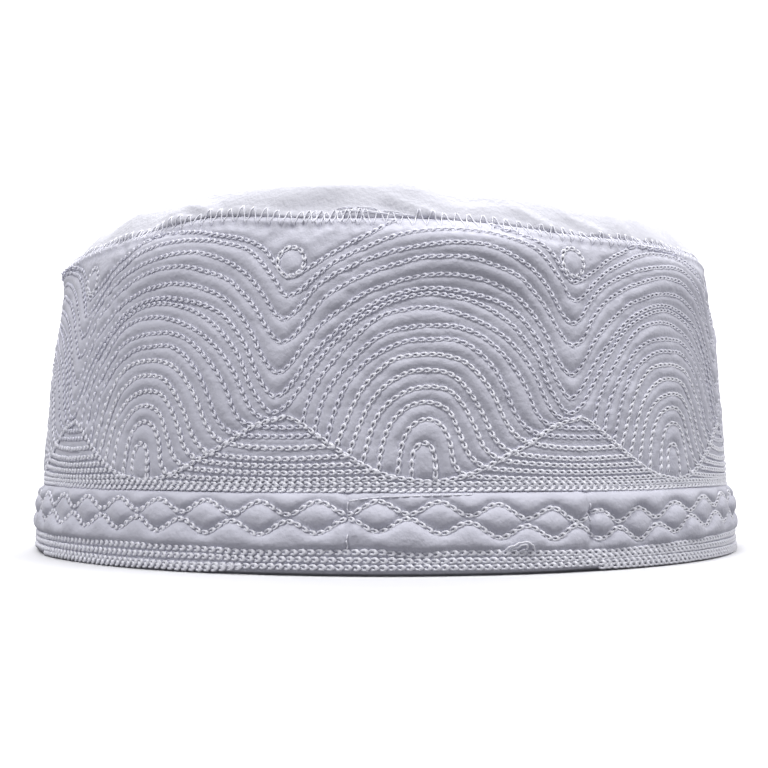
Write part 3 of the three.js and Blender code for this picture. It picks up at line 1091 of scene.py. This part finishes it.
# Groups of chain stitches: thread, lines, width, lift and stoutness
CHAINS = {
    "arch_chains_low": (white_thread, SHORT[: 6 * PANELS], 0.93, 0.2, 1.03),
    # The upper arches' rows take the white thread painted darker, as painted shade
    "arch_chains_side": (arch_thread_painted_shade, SHORT[6 * PANELS :], 0.93, 0.16, 1.0),
    "arch_chains_middle": (arch_thread_painted_shade, LONG[:4], 0.93, 0.16, 1.0),
    "arch_chains_high": (arch_thread_painted_shade, LONG[4:], 0.93, 0.16, 1.0),
    "scallop_chains": (white_thread, SCALLOPS, 0.86, 0.24, 1.1),
    "foot_chains": (white_thread, FEET, 0.95, 0.16, 1.18),
    "ring_chains": (white_thread, RINGS, 0.97, 0.22, 1.0),
    "headband_wave_chains": (white_thread, BAND_WAVES, 0.87, 0.2, 1.1),
    "headband_row_chains": (white_thread, BAND_LINES, 1.06, 0.14, 1.18),
}
for seed, (name, (thread, lines, width, lift, stout)) in enumerate(CHAINS.items(), start=100):
    finish_piece(chain(name, lines, width, lift, stout, seed), thread)
for sewing in (seam_thread(), band_stitches(), loose_end()):
    finish_piece(sewing, white_thread)


# Floor, light and camera, in metres

FLOOR_HALF = 3.0
DISC_RADIUS = 0.0955
DISC_DEPTH = 0.0006
AIM = (0, 0, 0.04)
CAMERA_PLACE = (-0.00034, -0.319, 0.0243)
CAMERA_TILT = 3.67  # degrees up from level


def stage():
    """A pale floor that curves up behind the cap into a pale backdrop"""
    bm = bmesh.new()
    outline = [(-1.6, 0.0), (1.2, 0.0), (1.8, 0.08), (2.2, 0.35), (2.4, 0.9), (2.4, 2.6)]
    corners = [bm.verts.new((-FLOOR_HALF, y, z)) for y, z in outline]
    edges = [bm.edges.new(pair) for pair in zip(corners, corners[1:])]
    swept = bmesh.ops.extrude_edge_only(bm, edges=edges)
    moved = [v for v in swept["geom"] if isinstance(v, bmesh.types.BMVert)]
    bmesh.ops.translate(bm, verts=moved, vec=(2 * FLOOR_HALF, 0, 0))
    bmesh.ops.recalc_face_normals(bm, faces=bm.faces)
    mesh = bpy.data.meshes.new("pale_floor")
    bm.to_mesh(mesh)
    bm.free()
    mesh.shade_smooth()
    floor = shown(mesh)
    material, _, _, _ = shader("pale floor", (0.8, 0.8, 0.82), 0.9, 0.0)
    mesh.materials.append(material)
    floor.visible_diffuse = False


def table_top():
    """A dark disc just under the floor's sheet, so that no light reaches the rim from below"""
    bm = bmesh.new()
    bmesh.ops.create_circle(bm, cap_ends=True, segments=96, radius=DISC_RADIUS)
    bmesh.ops.translate(bm, verts=bm.verts, vec=(0, 0, -DISC_DEPTH))
    mesh = bpy.data.meshes.new("table_top")
    bm.to_mesh(mesh)
    bm.free()
    disc = shown(mesh)
    material, _, _, _ = shader("dark table", (0.03, 0.03, 0.03), 0.9, 0.0)
    mesh.materials.append(material)


def soft_light(name, size, power, place, aim):
    """A square soft light that faces a point"""
    data = bpy.data.lights.new(name, "AREA")
    data.size = size
    data.energy = power
    lamp = bpy.data.objects.new(name, data)
    lamp.location = place
    lamp.rotation_euler = (Vector(aim) - Vector(place)).to_track_quat("-Z", "Y").to_euler()
    bpy.context.collection.objects.link(lamp)


stage()
table_top()
soft_light("key", 0.5, 9.8, (-0.45, -0.6, 1.05), AIM)
soft_light("side", 0.5, 7.8, (0.75, -0.3, 0.95), AIM)
soft_light("back", 0.5, 2.6, (-0.2, 0.75, 1.0), AIM)
soft_light("backdrop_wash", 2.0, 110.0, (0, 1.5, 2.4), (0, 2.4, 0.4))

world = bpy.data.worlds.new("studio")
world.use_nodes = True
sky = world.node_tree.nodes["Background"]
sky.inputs["Color"].default_value = (0.95, 0.95, 1.0, 1)
sky.inputs["Strength"].default_value = 0.32
bpy.context.scene.world = world
bpy.context.scene.view_settings.view_transform = "Standard"

lens = bpy.data.cameras.new("camera")
lens.lens = 52.1
lens.sensor_width = 36
lens.clip_start = 0.01
camera = bpy.data.objects.new("camera", lens)
camera.location = CAMERA_PLACE
camera.rotation_euler = (math.radians(90 + CAMERA_TILT), 0, 0)
bpy.context.collection.objects.link(camera)
bpy.context.scene.camera = camera
